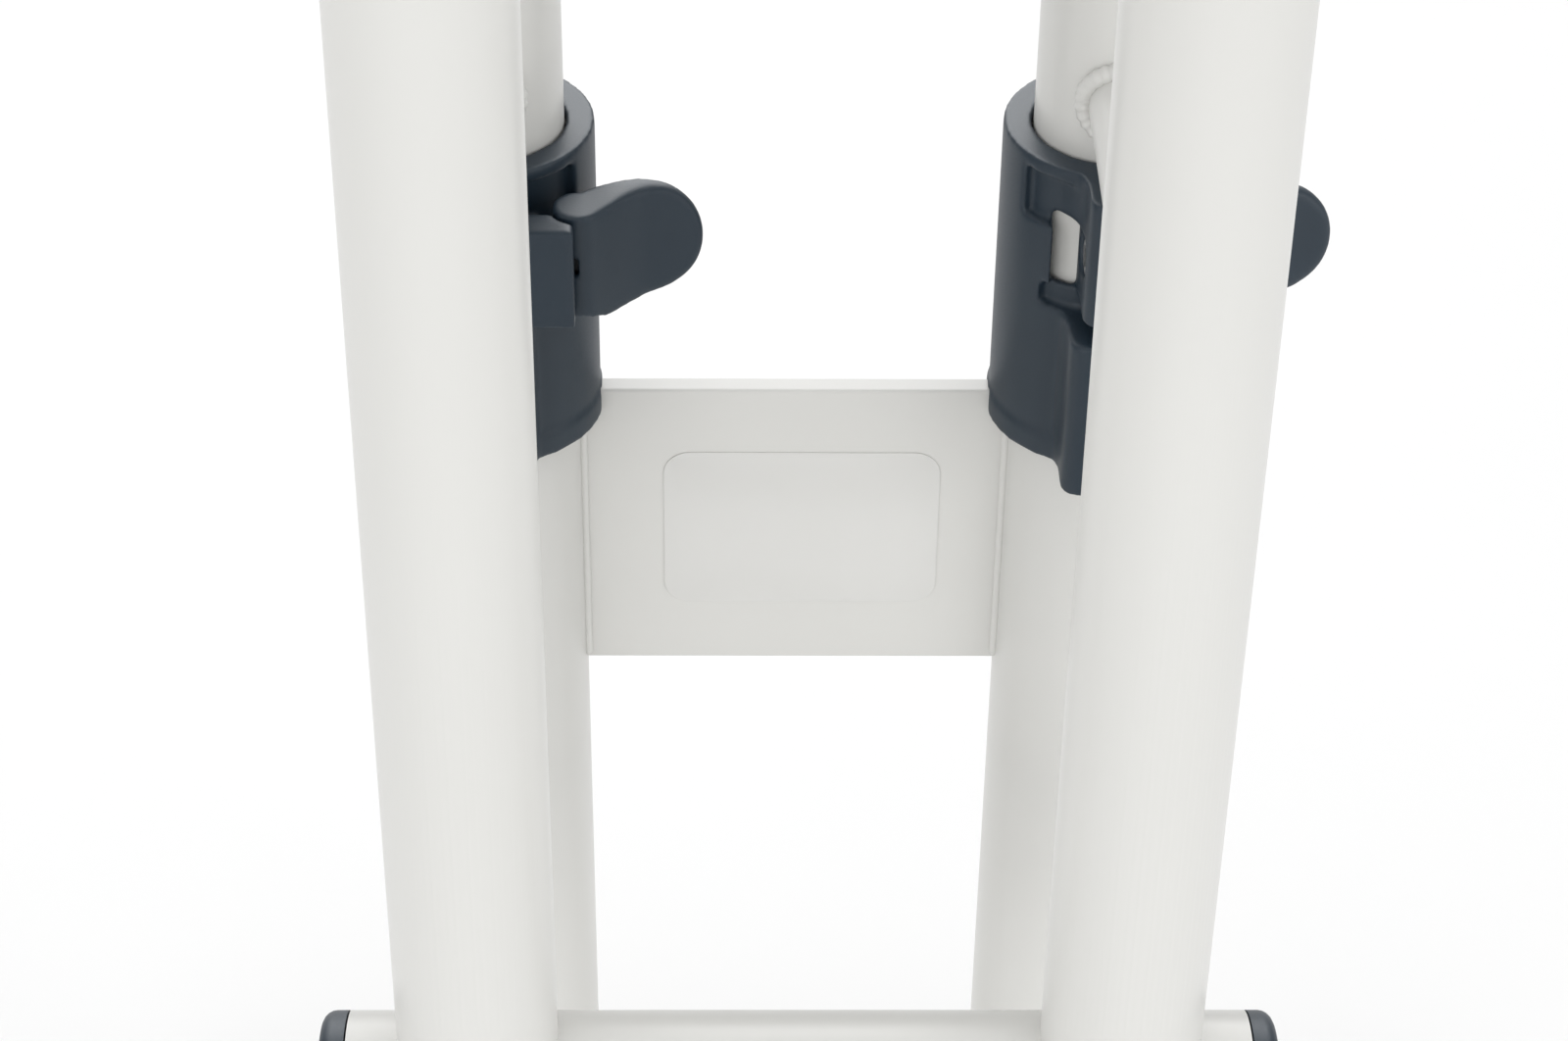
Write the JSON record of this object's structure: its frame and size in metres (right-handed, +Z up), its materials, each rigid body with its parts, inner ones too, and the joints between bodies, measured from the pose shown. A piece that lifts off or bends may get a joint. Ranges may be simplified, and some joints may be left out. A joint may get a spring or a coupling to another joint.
{
  "type": "bike display stand",
  "caption": "Height-adjustable display stand that lifts a bicycle by its bottom bracket on padded hooks, with a crank-stop bar and quick-release clamps on its posts.",
  "frame": {"origin": "on the floor, under the middle of the foot frame", "axes": "+X across the stand to the right seen from its front, +Y from the front hooks' open side to the posts, +Z up"},
  "size_m": [0.3, 0.3118, 0.5367],
  "materials": {
    "white_paint": "gloss",
    "black_nylon": "fine matte texture",
    "black_rubber": "matte",
    "black_steel": "satin black",
    "zinc_steel": "satin zinc",
    "clear_film": "clear label film over white paint"
  },
  "bodies": {
    "base": {"foot_tube_front": "white_paint", "foot_tube_rear": "white_paint", "base_rail_left": "white_paint", "base_rail_right": "white_paint", "post_left": "white_paint", "post_right": "white_paint", "post_gusset_left_front": "white_paint", "post_gusset_left_rear": "white_paint", "post_gusset_right_front": "white_paint", "post_gusset_right_rear": "white_paint", "cross_plate": "white_paint", "label_blank": "clear_film", "foot_plug_front_left": "black_nylon", "foot_plug_front_right": "black_nylon", "foot_plug_rear_left": "black_nylon", "foot_plug_rear_right": "black_nylon", "rubber_pad_front_left": "black_rubber", "rubber_pad_front_right": "black_rubber", "rubber_pad_rear_left": "black_rubber", "rubber_pad_rear_right": "black_rubber", "clamp_collar_left": "black_nylon", "clamp_collar_right": "black_nylon", "clamp_bolt_left": "black_steel", "clamp_bolt_right": "black_steel", "clamp_nut_left": "zinc_steel", "clamp_nut_right": "zinc_steel", "lever_pin_left": "black_steel", "lever_pin_right": "black_steel", "collar_screw_left": "zinc_steel", "collar_screw_right": "zinc_steel"},
    "carrier": {"carrier_tube_left": "white_paint", "carrier_tube_right": "white_paint", "carrier_strut_left": "white_paint", "carrier_strut_right": "white_paint", "carrier_brace": "white_paint", "crank_stop_bar": "white_paint", "bar_plug_left": "black_nylon", "bar_plug_right": "black_nylon", "glide_plug_left": "black_nylon", "glide_plug_right": "black_nylon", "saddle_sleeve_left": "black_rubber", "saddle_sleeve_right": "black_rubber"},
    "lever_left": {"clamp_lever_left": "black_nylon"},
    "lever_right": {"clamp_lever_right": "black_nylon"}
  },
  "joints": [
    {"name": "carrier_slide", "type": "slide", "parent": "base", "child": "carrier", "axis": [0, 0, 1], "range_m": [0, 0.115]},
    {"name": "lever_left_swing", "type": "hinge", "parent": "base", "child": "lever_left", "pos_m": [-0.0351, 0.032, 0.356], "axis": [0, 0, -1], "range_deg": [0, 60]},
    {"name": "lever_right_swing", "type": "hinge", "parent": "base", "child": "lever_right", "pos_m": [0.0665, 0.032, 0.356], "axis": [0, 0, -1], "range_deg": [0, 60]}
  ]
}
